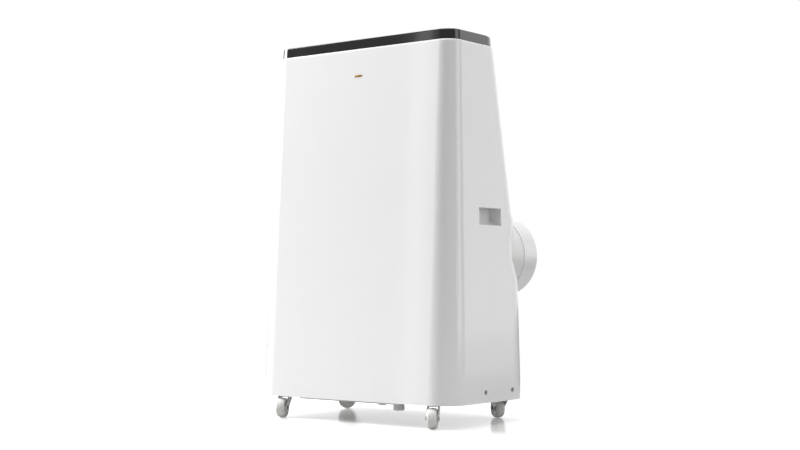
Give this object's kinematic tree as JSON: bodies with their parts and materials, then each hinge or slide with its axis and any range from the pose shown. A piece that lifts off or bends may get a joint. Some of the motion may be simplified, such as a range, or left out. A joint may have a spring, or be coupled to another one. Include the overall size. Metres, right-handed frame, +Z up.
{
  "type": "portable air conditioner",
  "caption": "Tall tapered white cabinet on four swivel casters with a dark top band, side finger pockets, a top outlet flap and a round rear exhaust connector.",
  "frame": {"origin": "on the floor, at the middle of the whole footprint (casters and exhaust connector included)", "axes": "+Z up, front facing -Y, +X to the right seen from the front"},
  "size_m": [0.5, 0.3548, 0.7659],
  "materials": {
    "white_plastic": "smooth high-gloss white moulding",
    "black_plastic": "smooth high-gloss black moulding",
    "smoked_window": "dark clear window, polished",
    "button_plastic": "fine satin grey",
    "grey_plastic": "inner mouldings, light texture",
    "pale_plastic": "base and inner mouldings, satin white",
    "nylon_white": "satin white nylon",
    "filter_mesh": "fine woven filter cloth in a frame",
    "steel": "zinc-plated steel",
    "dark_steel": "black enamelled steel",
    "sheet_steel": "galvanised sheet",
    "aluminium_fins": "thin pressed fins",
    "copper": "drawn copper tube",
    "rubber": "moulded rubber",
    "board_green": "glass-epoxy circuit board",
    "gold_trim": "bright gold-coloured foil",
    "capacitor_can": "drawn aluminium can"
  },
  "bodies": {
    "cabinet": {"accumulator": "dark_steel", "badge": "gold_trim", "base_pan": "pale_plastic", "blower_motor": "sheet_steel", "blower_scroll": "grey_plastic", "capacitor": "capacitor_can", "case_screws": "steel", "compressor": "dark_steel", "compressor_mounts": "rubber", "condenser_coil": "aluminium_fins", "control_board": "board_green", "control_fascia": "black_plastic", "cord_gland": "grey_plastic", "display_window": "smoked_window", "drain_spout": "grey_plastic", "drip_tray": "pale_plastic", "electrics_box": "sheet_steel", "evaporator_coil": "aluminium_fins", "exhaust_plenum": "grey_plastic", "fan_motor": "sheet_steel", "fan_scroll": "grey_plastic", "flap_motor": "grey_plastic", "front_shell": "white_plastic", "handle_left": "white_plastic", "handle_right": "white_plastic", "main_board": "board_green", "outlet_duct": "grey_plastic", "outlet_guard": "grey_plastic", "rear_panel": "white_plastic", "refrigerant_pipes": "copper", "side_frames": "sheet_steel", "top_cover": "black_plastic"},
    "button_timer_body": {"button_timer": "button_plastic"},
    "button_speed_body": {"button_speed": "button_plastic"},
    "button_mode_body": {"button_mode": "button_plastic"},
    "button_down_body": {"button_down": "button_plastic"},
    "button_up_body": {"button_up": "button_plastic"},
    "button_power_body": {"button_power": "button_plastic"},
    "outlet_flap_body": {"outlet_flap": "black_plastic"},
    "blower_body": {"blower_wheel": "grey_plastic"},
    "fan_body": {"fan_wheel": "grey_plastic"},
    "upper_intake_body": {"upper_grille": "white_plastic", "upper_filter": "filter_mesh"},
    "lower_intake_body": {"lower_grille": "white_plastic", "lower_filter": "filter_mesh"},
    "exhaust_connector_body": {"exhaust_connector": "white_plastic"},
    "drain_plug_body": {"drain_plug": "rubber"},
    "drain_cap_body": {"drain_cap": "rubber"},
    "caster_fork_body_front_left": {"caster_fork_front_left": "nylon_white", "caster_axle_front_left": "steel"},
    "caster_wheel_body_front_left": {"caster_wheel_front_left": "nylon_white"},
    "caster_fork_body_front_right": {"caster_fork_front_right": "nylon_white", "caster_axle_front_right": "steel"},
    "caster_wheel_body_front_right": {"caster_wheel_front_right": "nylon_white"},
    "caster_fork_body_rear_left": {"caster_fork_rear_left": "nylon_white", "caster_axle_rear_left": "steel"},
    "caster_wheel_body_rear_left": {"caster_wheel_rear_left": "nylon_white"},
    "caster_fork_body_rear_right": {"caster_fork_rear_right": "nylon_white", "caster_axle_rear_right": "steel"},
    "caster_wheel_body_rear_right": {"caster_wheel_rear_right": "nylon_white"}
  },
  "joints": [
    {"name": "timer_press", "type": "slide", "parent": "cabinet", "child": "button_timer_body", "axis": [0, 0, -1], "range_m": [0, 0.0008], "stiffness_N_per_m": 400},
    {"name": "speed_press", "type": "slide", "parent": "cabinet", "child": "button_speed_body", "axis": [0, 0, -1], "range_m": [0, 0.0008], "stiffness_N_per_m": 400},
    {"name": "mode_press", "type": "slide", "parent": "cabinet", "child": "button_mode_body", "axis": [0, 0, -1], "range_m": [0, 0.0008], "stiffness_N_per_m": 400},
    {"name": "down_press", "type": "slide", "parent": "cabinet", "child": "button_down_body", "axis": [0, 0, -1], "range_m": [0, 0.0008], "stiffness_N_per_m": 400},
    {"name": "up_press", "type": "slide", "parent": "cabinet", "child": "button_up_body", "axis": [0, 0, -1], "range_m": [0, 0.0008], "stiffness_N_per_m": 400},
    {"name": "power_press", "type": "slide", "parent": "cabinet", "child": "button_power_body", "axis": [0, 0, -1], "range_m": [0, 0.0008], "stiffness_N_per_m": 400},
    {"name": "flap_hinge", "type": "hinge", "parent": "cabinet", "child": "outlet_flap_body", "pos_m": [0, 0.0325, 0.7595], "axis": [-1, 0, 0], "range_deg": [0, 75]},
    {"name": "blower_spin", "type": "hinge", "parent": "cabinet", "child": "blower_body", "pos_m": [-0.03, -0.086, 0.56], "axis": [0, 1, 0], "continuous": true},
    {"name": "fan_spin", "type": "hinge", "parent": "cabinet", "child": "fan_body", "pos_m": [0.02, 0.01, 0.16], "axis": [0, 1, 0], "continuous": true},
    {"name": "upper_intake_pull", "type": "slide", "parent": "cabinet", "child": "upper_intake_body", "axis": [0, 0.9883, 0.1527], "range_m": [0, 0.06]},
    {"name": "lower_intake_pull", "type": "slide", "parent": "cabinet", "child": "lower_intake_body", "axis": [0, 1, 0], "range_m": [0, 0.06]},
    {"name": "connector_pull", "type": "slide", "parent": "cabinet", "child": "exhaust_connector_body", "axis": [0, 1, 0], "range_m": [0, 0.05]},
    {"name": "drain_plug_pull", "type": "slide", "parent": "cabinet", "child": "drain_plug_body", "axis": [0, 0, -1], "range_m": [0, 0.012]},
    {"name": "drain_cap_pull", "type": "slide", "parent": "cabinet", "child": "drain_cap_body", "axis": [0, 1, 0], "range_m": [0, 0.02]},
    {"name": "swivel_front_left", "type": "hinge", "parent": "cabinet", "child": "caster_fork_body_front_left", "pos_m": [-0.19, -0.136, 0.06], "axis": [0, 0, 1], "continuous": true},
    {"name": "roll_front_left", "type": "hinge", "parent": "caster_fork_body_front_left", "child": "caster_wheel_body_front_left", "pos_m": [-0.1807, -0.15594, 0.02], "axis": [0.9063, 0.4226, 0], "continuous": true},
    {"name": "swivel_front_right", "type": "hinge", "parent": "cabinet", "child": "caster_fork_body_front_right", "pos_m": [0.19, -0.136, 0.06], "axis": [0, 0, 1], "continuous": true},
    {"name": "roll_front_right", "type": "hinge", "parent": "caster_fork_body_front_right", "child": "caster_wheel_body_front_right", "pos_m": [0.201, -0.15505, 0.02], "axis": [0.866, 0.5, 0], "continuous": true},
    {"name": "swivel_rear_left", "type": "hinge", "parent": "cabinet", "child": "caster_fork_body_rear_left", "pos_m": [-0.19, 0.096, 0.06], "axis": [0, 0, 1], "continuous": true},
    {"name": "roll_rear_left", "type": "hinge", "parent": "caster_fork_body_rear_left", "child": "caster_wheel_body_rear_left", "pos_m": [-0.20905, 0.085, 0.02], "axis": [0.5, -0.866, 0], "continuous": true},
    {"name": "swivel_rear_right", "type": "hinge", "parent": "cabinet", "child": "caster_fork_body_rear_right", "pos_m": [0.19, 0.096, 0.06], "axis": [0, 0, 1], "continuous": true},
    {"name": "roll_rear_right", "type": "hinge", "parent": "caster_fork_body_rear_right", "child": "caster_wheel_body_rear_right", "pos_m": [0.17198, 0.10862, 0.02], "axis": [-0.5736, -0.8192, 0], "continuous": true}
  ]
}
